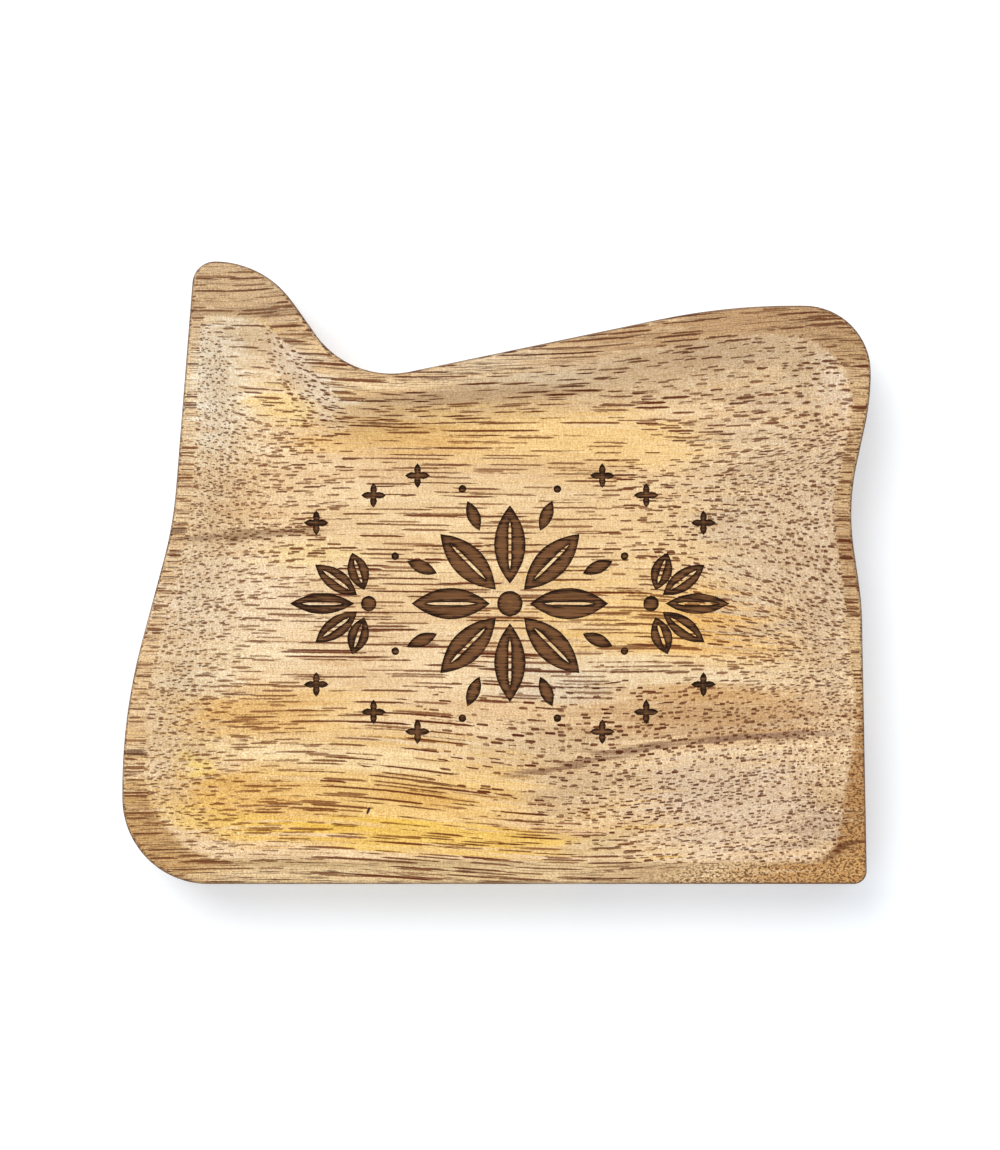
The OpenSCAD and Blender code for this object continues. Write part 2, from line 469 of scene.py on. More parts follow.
def buildDish():
    m = meshing
    rings = skinRings()
    n = len(rings[0][0])
    verts = [ringPoints for ringPoints, *_ in rings]
    faces, kinds, burntFaces = [], [], []
    total = n * len(rings)
    brinkGap = [np.broadcast_to(gap, n) for _, _, gap, _ in rings]
    darkEdgeAndShade = [np.full(n, dark) for *_, dark in rings]
    burnEdge = [np.zeros(total)]

    def addFace(corners, kind, burnt=0.0):
        faces.append(tuple(corners))
        kinds.append(kind)
        burntFaces.append(burnt)

    def addPoints(points, gap, fromEdge):
        verts.append(points)
        brinkGap.append(np.full(len(points), gap))
        darkEdgeAndShade.append(np.zeros(len(points)))
        burnEdge.append(fromEdge)

    for r in range(len(rings) - 1):
        for j in range(n):
            k = (j + 1) % n
            addFace((r * n + j, r * n + k, (r + 1) * n + k, (r + 1) * n + j), rings[r + 1][1])

    # Underside
    base = rings[0][0][:, :2]
    inner = grid(base, m["baseGap"], seeds["basePoints"])
    inner = inner[distanceTo(inner, [base]) > m["baseClear"]]
    _, triangles = triangulate([base], inner)
    addPoints(lifted(inner, 0.0), farOutside, np.zeros(len(inner)))
    for tri in triangles:
        addFace([v if v < n else total + v - n for v in tri], "base")
    total += len(inner)

    # Floor of the hollow with the burnt cuts
    lastRing = n * (len(rings) - 1)
    edge = rings[-1][0][:, :2]
    cuts, ribs = ornamentLoops()
    loose = grid(edge, m["floorGap"], seeds["floorPoints"])
    loose = loose[distanceTo(loose, [edge]) > m["floorClear"]]
    for loop in cuts:
        fine = grid(loop, m["cutGap"], seeds["cutPoints"])
        loose = loose[~insideLoop(loose, loop)]
        loose = np.concatenate([loose, fine])
    loose = loose[distanceTo(loose, cuts + ribs) > m["cutClear"]]
    points, triangles = triangulate([edge] + cuts + ribs, loose)
    centres = np.array([points[list(tri)].mean(axis=0) for tri in triangles])
    inCut = np.any([insideLoop(centres, loop) for loop in cuts], axis=0)
    inCut &= ~np.any([insideLoop(centres, loop) for loop in ribs], axis=0)
    top, low = {}, {}
    newPoints, newEdge = [], []
    inset = {}
    start = n
    for loop, side in [(l, 1) for l in cuts] + [(l, -1) for l in ribs]:
        for k, normal in enumerate(ringNormals(loop)):
            inset[start + k] = normal * side * ornament["wallInset"]
        start += len(loop)
    depthIn = np.minimum(distanceTo(points, cuts + ribs), m["burnReach"])

    def topVert(v):
        if v < n:
            return lastRing + v
        if v not in top:
            top[v] = total + len(newPoints)
            x, y = points[v]
            height, along, across = m["floorWave"]
            wave = height * noise.noise(Vector((x / along, y / across, seeds["floor"])))
            newPoints.append((x, y, floorHeight + min(0.0, wave)))
            newEdge.append(0.0)
        return top[v]

    def lowVert(v):
        if v not in low:
            low[v] = total + len(newPoints)
            x, y = points[v] + inset.get(v, 0)
            height, along, across = m["burnRough"]
            rough = height * noise.noise(Vector((x / along, y / across, seeds["burn"])))
            newPoints.append((x, y, floorHeight - ornament["burnDepth"] + rough))
            newEdge.append(0.0 if v in inset else float(depthIn[v]))
        return low[v]

    for tri, cut in zip(triangles, inCut):
        addFace([(lowVert if cut else topVert)(v) for v in tri], "top", float(cut))
    start = n
    for loop in cuts + ribs:
        for k in range(len(loop)):
            a, b = start + k, start + (k + 1) % len(loop)
            addFace((topVert(a), topVert(b), lowVert(b), lowVert(a)), "top", 1.0)
        start += len(loop)
    addPoints(np.array(newPoints), -farOutside, np.array(newEdge))
    verts = np.concatenate(verts)
    mesh = bpy.data.meshes.new("dishBlock")
    mesh.from_pydata((verts * mm).tolist(), [], faces)
    addUv(mesh, rings, kinds, verts, n)
    for name, values in (("brinkGap", brinkGap), ("darkEdgeAndShade", darkEdgeAndShade), ("burnEdge", burnEdge)):
        mesh.attributes.new(name, "FLOAT", "POINT").data.foreach_set("value", np.concatenate(values))
    mesh.attributes.new("burnt", "FLOAT", "FACE").data.foreach_set("value", burntFaces)
    shell = bmesh.new()
    shell.from_mesh(mesh)
    bmesh.ops.recalc_face_normals(shell, faces=shell.faces)
    openEdges = sum(1 for e in shell.edges if len(e.link_faces) != 2)
    shell.to_mesh(mesh)
    shell.free()
    mesh.shade_smooth()
    mesh.set_sharp_from_angle(angle=radians(m["sharpAngle"]))
    print("Dish block built:", len(verts), "points,", len(faces), "faces,", openEdges, "open edges")
    return addObject("dishBlock", mesh)


# Layout of the square texture, with scales in texture widths per mm
textureLayout = {
    "margin": 0.006,
    "topScale": 7.5 / 1024,
    "baseScale": 3.3 / 1024,
    "sideScale": 4.6 / 1024,
    "sideStrips": 3,
}


def addUv(mesh, rings, kinds, verts, n):
    t = textureLayout
    spanX, spanY = block["length"], block["depth"]
    foot = rings[bands["foot"]][0][:, :2]
    arc = lengthsAlong(np.concatenate([foot, foot[:1]]))
    rise = [0.0]
    for a, b in zip(rings, rings[1:]):
        rise.append(rise[-1] + float(np.mean(norm(b[0] - a[0], axis=1))))
    baseRow = t["margin"] * 2 + spanY * t["topScale"]
    stripX = t["margin"] * 2 + spanX * t["baseScale"]
    stripRise = rise[bands["foot"] + bands["side"] + bands["arris"]] * t["sideScale"] + t["margin"]
    perStrip = ceil(n / t["sideStrips"])
    layer = mesh.uv_layers.new(name="OFBake")
    uv = np.zeros((len(mesh.loops), 2))
    for face, kind in zip(mesh.polygons, kinds):
        corners = list(face.vertices)
        if kind == "side":
            first = corners[0] % n
            strip = first // perStrip
            places = []
            for v in corners:
                j = v % n
                along = arc[j] + (arc[n] if j < first else 0) - arc[strip * perStrip]
                places.append((
                    stripX + along * t["sideScale"],
                    baseRow + strip * stripRise + rise[v // n] * t["sideScale"],
                ))
        else:
            isBase = kind == "base"
            mirror, scale = (-1, t["baseScale"]) if isBase else (1, t["topScale"])
            row = baseRow if isBase else t["margin"]
            places = [(
                t["margin"] + (spanX / 2 + mirror * verts[v][0]) * scale,
                row + (spanY / 2 + verts[v][1]) * scale,
            ) for v in corners]
        uv[list(face.loop_indices)] = places
    layer.data.foreach_set("uv", uv.ravel())


dish = buildDish()


# Wood: colours are as seen, 0 to 255, and places are in mm from the middle of the block
wood = {
    "lightGain": 1.1,
    "groundLight": (241, 210, 165),
    "groundTan": (230, 192, 144),
    "warp": (9.0, 1.1),  # how far patches stray along and across the grain
    "feather": (0.35, 1.1),  # shares of its reach where a patch starts to fade and ends
    "firm": 0.6,  # the same start for spots with a firmer edge
    "streaky": 1.1,  # how much fibres break up the edges of patches
    # Bends of the grain: middle, reach, how far lines are pushed
    "bends": [
        ((12.6, -34), (46, 24), 3.2),
        ((54.8, -5.6), (36, 15), 2.8),
        ((56, 36), (46, 18), -2.6),
        ((-10, 32), (40, 14), 1.2),
        ((-23, 41), (18, 10), -1.4),
    ],
    "drift": 1.2,  # how far lines wander sideways, and up or down
    "dive": 0.35,
    "lean": 0.55,  # how far dark lines slant down the outside
    "rise": 0.52,  # how strongly a slope of the hollow cuts across the fibres
    "outsideFrom": 12.0,  # gaps to the brink above this mean side or underside
    # Where pores show shorter: side, start, run, how many times shorter at its end, and the stretches
    # of Y where they stay longer: from here, to here, share of the shortening left
    "shorter": [
        (1, 13.0, 21.0, 12.0, [(13.0, 22.0, 0.35)]),
        (-1, 18.0, 20.0, 11.0, [(21.0, 29.0, 0.2), (-7.0, -17.0, 0.15)]),
    ],
    "later": ((0, -10), (1000, 14), 14.0),  # where that begins later: middle, reach, by how much
    "rimShorter": 0.1,  # share of the shortening that shows on the rim
    # Finer and denser dots on the left wall: from here, to here, dot size, share of cells filled
    "fineDots": (-36.0, -42.0, 0.72, 0.7),
    "dashField": ((54, -35), (76, 17.0), -10),  # where pores show as short dashes: middle, reach, turn
    "dashPull": (0.55, 0.01),  # how short the dashes are on the left, and how fast they shorten
    "ends": (20.0, 40.0),  # cut fibres come in from here to here, at both ends
    "cutEnds": 0.35,  # how much speckle they add
    # Noises: size along, across and down the grain, detail, roughness
    "noises": {
        "drift": ((60, 26, 30), 1.0, 0.5), "dive": ((60, 24, 24), 1.0, 0.5),
        "stray": ((22, 2.6, 5), 3.0, 0.55), "ground": ((34, 3.2, 4), 3.0, 0.55),
        "edges": ((16, 0.6, 0.9), 3.0, 0.6), "ragged": ((3.0, 0.5, 0.8), 2.0, 0.5),
        "fibres": ((9, 0.2, 0.28), 3.0, 0.6), "threads": ((3.0, 0.11, 0.14), 1.0, 0.5),
        "ripple": ((0.24, 0.9, 0.5), 2.0, 0.6), "speckle": ((0.3, 0.2, 0.2), 2.0, 0.6),
        "clouds": ((16, 2.2, 3), 3.0, 0.6), "mottle": ((0.42, 0.28, 0.35), 2.0, 0.6),
        "pores": ((26, 2.0, 2.4), 2.0, 0.5), "shake": ((0.9, 0.5, 0.5), 1.0, 0.5),
        "darkEdgeAndShade": ((4, 4, 4), 2.0, 0.5), "scorch": ((5, 0.25, 0.4), 3.0, 0.7),
    },
    # Between these noise values, or differences of red and blue, a mix goes from none to full
    "fades": {
        "ground": (0.34, 0.66), "warm": (0.36, 0.52), "streaks": (0.51, 0.59), "mottle": (0.46, 0.6),
    },
    "poreShare": (0.3, 0.56, 0.6, 1.0),  # noise from and to, share of pores from and to
    "darkEdgeAndShadeFade": (0.3, 0.52, 0.65, 0.95),  # noise from and to, line strength from and to
    # Patches of ground colour: middle, reach, turn, colour, strength
    "patches": [
        # left end; the first patch is pale wood made lighter still, painted light on the left wall,
        # which faces away from the lamp
        ((-40, -4), (17, 9), 0, (242, 216, 180), 0.75),
        ((-38, -13.2), (13, 3.2), 0, (246, 220, 178), 0.8),
        ((-48, -24), (7, 10), 0, (226, 192, 146), 0.8),
        # arm; the first patch is pale wood made lighter still, painted light on the arm's wall, which
        # faces away from the lamp
        ((-41, 27), (12, 13), 0, (246, 222, 184), 0.95),
        ((-30.5, 25.5), (11, 3.4), 2, (246, 214, 150), 0.95),
        ((-36, 36), (6, 3.2), 0, (236, 200, 138), 0.9),
        # back
        ((24, 33), (40, 9), 5, (228, 196, 154), 0.9),
        ((48, 31), (8, 7), 0, (202, 170, 130), 0.8),
        ((36, 34.5), (16, 4.5), 2, (206, 170, 128), 0.85),
        # golden band and its streaks
        ((-1, 21.5), (33, 6), -1, (244, 204, 139), 1),
        ((-13, 20.5), (17, 3.4), -2, (232, 184, 114), 0.7),
        ((20, 19.5), (20, 5), -2, (244, 204, 138), 0.9),
        ((11, 15.3), (13, 2.6), -2, (224, 182, 126), 0.8),
        ((8, 29.2), (13, 1.8), 3, (230, 203, 164), 0.8),
        ((-6, 26.8), (24, 1.3), 2, (192, 156, 116), 0.6),
        ((43, 26.2), (14, 1.5), -4, (190, 156, 122), 0.65),
        # middle
        ((8, 4), (44, 14), 0, (240, 204, 148), 0.6),
        ((-37, 5.6), (16, 1.1), 4, (160, 124, 88), 0.8),
        ((-28, 3.2), (10, 2.8), 4, (246, 216, 156), 0.7),
        ((27, -7.5), (28, 9), -4, (242, 200, 130), 0.95),
        ((36, -8), (14, 8), -8, (238, 186, 108), 0.95),
        # pale and brown bands before the middle
        ((22, -15.5), (30, 3.6), -2, (240, 214, 172), 0.8),
        ((9, -17), (11, 3.5), -4, (226, 204, 172), 0.8),
        ((8, -26), (14, 4.5), 6, (216, 184, 142), 0.8),
        ((36, -21.8), (25, 5), 2, (202, 160, 113), 0.95),
        ((33, -18.6), (17, 2.3), -3, (212, 166, 110), 0.8),
        ((38, -35), (26, 10), 0, (218, 190, 158), 0.95),
        # right end
        ((46, 8), (18, 28), 0, (217, 188, 151), 0.95),
        # orange to yellow at the front left
        ((-32, -21.5), (24, 5.8), 0, (238, 198, 136), 0.95),
        ((-35, -21.5), (13, 3), 0, (228, 178, 108), 0.7),
        ((-45, -16.5), (6, 3.2), 0, (246, 224, 186), 0.7),
        ((-18, -34.5), (42, 10), -4, (238, 196, 124), 1),
        ((-41, -34.5), (14, 4.4), -4, (228, 178, 102), 0.85),
        ((-26, -28.2), (24, 2.4), -5, (246, 218, 168), 0.75),
        ((-9, -40), (34, 2.9), -3, (238, 192, 82), 1),
        ((-42, -37.5), (9, 3.2), -12, (238, 194, 104), 0.9),
        ((-45.3, -29), (2.6, 2.6), 0, (246, 212, 128), 0.8),
        ((-11, -34.2), (8, 1.8), -4, (224, 172, 92), 0.7),
        # front
        ((12, -32.5), (10, 6), 24, (210, 178, 138), 0.85),
        ((16, -41.5), (7, 2.6), 6, (212, 182, 136), 0.7),
        ((9, -29.3), (10, 0.75), 11, (150, 112, 82), 0.85),
        ((23, -26.6), (13, 0.75), 8, (144, 108, 80), 0.85),
        ((43, -24.8), (16, 0.75), 3, (150, 114, 88), 0.85),
        ((-16, -44.2), (40, 1.4), -1, (198, 168, 120), 0.85),
        # walls and corners
        # Painted highlight on the bend of the back right corner, partly paler cut end grain
        ((51.5, 28.5), (2.6, 6), 18, (234, 210, 182), 0.6),
        ((-50, -36), (3.2, 9), 20, (224, 190, 138), 0.4),
        # Painted shade on the right wall, which faces the lamp and would otherwise show lighter than
        # the field
        ((50, 2), (5, 28), 0, (208, 176, 138), 0.8),
        ((55, -38), (9, 14), 0, (200, 162, 114), 0.8),
        ((47.5, -38.5), (5, 4), 20, (182, 152, 122), 0.7),
    ],
    "mark": ((-19.5, -36.2), (0.26, 0.75), -24, (58, 44, 36)),  # small dark fleck in the yellow band
    # Painted light that only the hollow and the rim show: a lighter west wall in the arm, which faces
    # away from the lamp, and a painted highlight along the arm's brink
    "paintedHollowLight": [
        ((-42.5, 30), (5, 12), 4, (255, 240, 212), 0.9),
        ((-28, 29.5), (9, 3.4), -52, (246, 226, 198), 0.85),
    ],
    # Patches that only the rim and the outside show
    "rimPatches": [
        # back
        ((-38, 43), (24, 12), 0, (212, 178, 136), 1),
        ((-38, 39.3), (17, 0.8), 2, (150, 114, 82), 0.45),
        ((0, 31.6), (13, 3), 6, (234, 206, 166), 0.9),
        ((43, 37), (41, 11), 7, (199, 159, 115), 1),
        ((50, 34), (14, 9), 0, (192, 154, 112), 0.8),
        # right
        ((54, 8), (10, 30), 0, (212, 174, 126), 0.95),
        ((53.5, 3), (5, 6), 0, (188, 146, 102), 0.9),
        ((54, -14.5), (4, 8), 0, (234, 199, 148), 0.9),
        ((58, -35), (13, 22), 0, (196, 146, 92), 1),
        ((55, -46), (25, 8), 6, (206, 156, 98), 1),
        ((50.8, -41.7), (11, 0.65), 16, (118, 74, 42), 0.9),
        # front and left
        ((-51, -42), (14, 13), 0, (205, 161, 105), 0.95),
        ((-10, -46), (44, 3), 0, (234, 201, 150), 0.9),
        ((-51.8, -26.9), (6, 0.7), 0, (112, 80, 60), 0.85),
        ((-49, 6.5), (4.5, 0.7), 0, (120, 88, 66), 0.75),
        ((22, -46), (14, 3), 0, (216, 180, 134), 0.8),
    ],
    "rim": {
        "tint": (0.98, 0.96, 0.92),
        "fade": 0.7,
        "ragged": 0.7,
        "streak": (96, 54, 32),
        "streaks": 0.85,
        "threads": 0.4,  # share of fine threads in the streaks
        # Fewer streaks: middle, reach, share taken away
        "calm": [((-38, 44), (26, 16), 0.3), ((24, 36), (40, 9), 0.3)],
    },
    # Mottled heartwood in one corner of the rim, with hardly any pores
    "mottle": {
        "spots": [((56, -46), (40, 5)), ((57, -37), (7, 15))],
        "colour": (92, 54, 26),
        "strength": 0.85,
    },
    # Pale wall colour: partly cut fibres, partly painted highlight; much more of it in the arm, as
    # painted light on walls turned away from the lamp
    "wall": {
        "colour": (242, 219, 188),
        "strength": 0.15,
        "paintedLightInArm": 0.7,
        "paintedLightArmSpot": ((-35, 30), (15, 17)),
        "starts": (0.0, -0.8),  # gaps to the brink between which the wall comes in
        "stops": (-8.0, -2.5),  # and between which it gives way to the floor
    },
    # Colour of that dark edge line, partly painted shade
    "darkEdgeAndShade": (84, 56, 44),
    # Pores: cell along, across and down the grain, radius, half length
    "pores": [
        {"cell": (15.0, 0.7, 0.46), "radius": 0.172, "half": 8.5, "seed": 3.7},
        {"cell": (10.0, 0.64, 0.46), "radius": 0.138, "half": 5.6, "seed": 41.3},
    ],
    "dashes": {"cell": (1.05, 0.54, 0.34), "radius": 0.153, "half": 0.62, "seed": 77.9},
    # How pores differ: random part and fixed part
    "poreVaries": {"half": (0.7, 0.45), "radius": (0.6, 0.7), "strength": (0.3, 0.7)},
    "poreTaper": (1.0, 0.6),  # shares of the half length between which a pore widens
    "poreSoft": (1.15, 0.55),  # shares of the radius between which it darkens
    "poreJitter": 0.06,
    "endPores": (0.86, 0.92),  # strength of the pores at the left and right ends
    # Fewer pores: middle, reach, share taken away
    "sparse": [((-40, 31), (13, 14), 0.35), ((18, 28), (40, 12), 0.3)],
    "smoothArm": 1.4,  # how much speckle the first of these takes away
    "poreStain": (0.93, 0.72, 0.58),  # what a pore does to the wood at its edge
    "poreDark": (84, 25, 3),
    "poreRed": (102, 34, 2),
    "poreSoak": 1.3,  # higher keeps the ink nearer the middle of a pore
    "lift": 1.03,  # evens out what the darker details take away
    "darkest": 0.35,  # no detail takes the ground below this share
    "warmDarks": 0.4,  # how much faster green falls than red in the dark details
    "fibres": 0.15,
    "threads": 0.18,
    "ripple": 0.28,
    "speckle": 0.55,
    "clouds": 0.15,
    "roughness": 0.56,
    "uneven": 0.15,  # how much fibres and speckle change it
    "sheen": 0.1,
    "poreDepth": 0.12,
    "fibreDepth": 0.03,
}
burn = {
    "edge": (60, 38, 25),
    "middle": (124, 84, 53),
    "pale": (172, 124, 76),
    "edgeWidth": (0.1, 0.62),  # where the dark edge gives way to the middle colour
    "paleFrom": (1.1, 2.2, 0.6),  # where the pale colour comes in, and how far
    "wander": 1.1,  # how far the char's colours stray
    "streaks": 0.9,
    "roughness": 0.72,
    "relief": 0.12,
}

oiledWood = bpy.data.materials.new("oiledHardwood")
oiledWood.use_nodes = True
tree = oiledWood.node_tree  # all the nodes below go into this one
tree.nodes.clear()


def tone(colour):
    # Colour as seen, turned into what the lamp needs
    linear = []
    for value in colour:
        v = value / 255
        linear.append((v / 12.92 if v <= 0.04045 else ((v + 0.055) / 1.055) ** 2.4) / wood["lightGain"])
    return (*linear, 1.0)


def addNode(kind, inputs=None, **settings):
    made = tree.nodes.new("ShaderNode" + kind)
    for name, value in settings.items():
        setattr(made, name, value)
    for key, value in (inputs or {}).items():
        if isinstance(value, bpy.types.NodeSocket):
            tree.links.new(value, made.inputs[key])
        else:
            made.inputs[key].default_value = value
    return made


def calc(operation, *values, clamp=False):
    return addNode("Math", dict(enumerate(values)), operation=operation, use_clamp=clamp).outputs[0]


# Short names for the sums used most
times, plus, minus = (partial(calc, kind) for kind in ("MULTIPLY", "ADD", "SUBTRACT"))
timesPlus, larger = partial(calc, "MULTIPLY_ADD"), partial(calc, "MAXIMUM")


def vecCalc(operation, *values):
    made = addNode("VectorMath", dict(enumerate(values)), operation=operation)
    return made.outputs["Value" if operation in ("LENGTH", "DISTANCE", "DOT_PRODUCT") else "Vector"]


def mixed(factor, first, second, mode="MIX"):
    made = addNode("Mix", {0: factor, 6: first, 7: second}, data_type="RGBA", blend_type=mode)
    return made.outputs[2]


def eased(value, low, high, outLow=0.0, outHigh=1.0):
    inputs = {0: value, 1: low, 2: high, 3: outLow, 4: outHigh}
    return addNode("MapRange", inputs, interpolation_type="SMOOTHSTEP").outputs[0]


def apart(vector):
    return addNode("SeparateXYZ", {0: vector}).outputs


def byChannel(colour):
    return [addNode("SeparateColor", {0: colour}).outputs[k] for k in range(3)]


def together(x, y, z):
    return addNode("CombineXYZ", {0: x, 1: y, 2: z}).outputs[0]


def farFrom(place, middle, reach, turn=0.0):
    # 0 in the middle of an ellipse and 1 at its reach, the same all the way down
    offset = vecCalc("SUBTRACT", place, (middle[0], middle[1], 0))
    if not turn:
        return vecCalc("LENGTH", vecCalc("MULTIPLY", offset, (1 / reach[0], 1 / reach[1], 0)))
    c, s = cos(radians(turn)), sin(radians(turn))
    along = vecCalc("DOT_PRODUCT", offset, (c / reach[0], s / reach[0], 0))
    across = vecCalc("DOT_PRODUCT", offset, (-s / reach[1], c / reach[1], 0))
    return vecCalc("LENGTH", together(along, across, 0.0))


def softSpot(place, middle, reach, turn=0.0, inner=0.0):
    return eased(farFrom(place, middle, reach, turn), 1.0, inner)


def fogNoise(place, name, output=0):
    size, detail, rough = wood["noises"][name]
    scaled = addNode("Mapping", {"Vector": place, "Scale": size}, vector_type="TEXTURE").outputs[0]
    inputs = {"Vector": scaled, "Scale": 1.0, "Detail": detail, "Roughness": rough}
    return addNode("TexNoise", inputs).outputs[output]


def attribute(name):
    return addNode("Attribute", attribute_name=name).outputs["Fac"]


def centred(value, amount):
    # Noise from 0 to 1 turned into a number from -amount to amount
    return times(minus(value, 0.5), 2 * amount)


def grainSpace(place, outside):
    # The block's own space bent so that fibres run straight along X
    x, y, z = apart(place)
    rise = timesPlus(outside, 1.0 - wood["rise"], wood["rise"])
    drift = centred(fogNoise(place, "drift"), wood["drift"])
    for middle, reach, push in wood["bends"]:
        drift = timesPlus(softSpot(place, middle, reach), push, drift)
    elsewhere = vecCalc("ADD", place, (31, 7, 90))
    dive = centred(fogNoise(elsewhere, "dive"), wood["dive"])
    under = minus(z, block["height"])
    return together(x, plus(y, drift), timesPlus(under, rise, dive))


def squeezed(grain, onRim):
    # The same space drawn out along X near the ends of the hollow, which makes pores shorter
    x, y, z = apart(grain)
    inHollow = calc("GREATER_THAN", onRim, 0.5)
    inHollow = timesPlus(inHollow, wood["rimShorter"] - 1.0, 1.0)
    middle, reach, later = wood["later"]
    delay = times(softSpot(together(0.0, y, 0.0), middle, reach), later)
    stretched = x
    for way, edge, run, ratio, longer in wood["shorter"]:
        past = larger(minus(timesPlus(x, way, -edge), delay), 0.0)
        beyond = larger(minus(past, run), 0.0)
        grown = minus(calc("POWER", past, 2.0), calc("POWER", beyond, 2.0))
        grown = times(grown, inHollow)
        for start, end, left in longer:
            grown = times(grown, eased(y, start, end, 1.0, left))
        stretched = timesPlus(grown, way * (ratio - 1) / run / 2, stretched)
    return together(stretched, y, z)


def poreLayer(grain, layer, density, size):
    # Each cell holds one thin tube along the grain
    cell, varies = layer["cell"], wood["poreVaries"]
    q = vecCalc("DIVIDE", vecCalc("ADD", grain, (layer["seed"],) * 3), cell)
    inputs = {"Vector": q, "Scale": 1.0, "Randomness": 1.0}
    cells = addNode("TexVoronoi", inputs, voronoi_dimensions="3D")
    delta = vecCalc("MULTIPLY", vecCalc("SUBTRACT", q, cells.outputs["Position"]), cell)
    dx, dy, dz = apart(delta)
    across = calc("SQRT", plus(times(dy, dy), times(dz, dz)))
    along = calc("ABSOLUTE", dx)
    chance, second, third = byChannel(cells.outputs["Color"])
    half = times(timesPlus(second, *varies["half"]), layer["half"])
    taper = eased(calc("DIVIDE", along, half), *wood["poreTaper"])
    radius = times(timesPlus(third, *varies["radius"]), layer["radius"])
    radius = times(radius, times(taper, size))
    ratio = calc("DIVIDE", across, larger(radius, 0.001))
    body = eased(ratio, *wood["poreSoft"])
    kept = calc("LESS_THAN", chance, density)
    strength = timesPlus(second, *varies["strength"])
    return times(times(body, kept), strength, clamp=True)


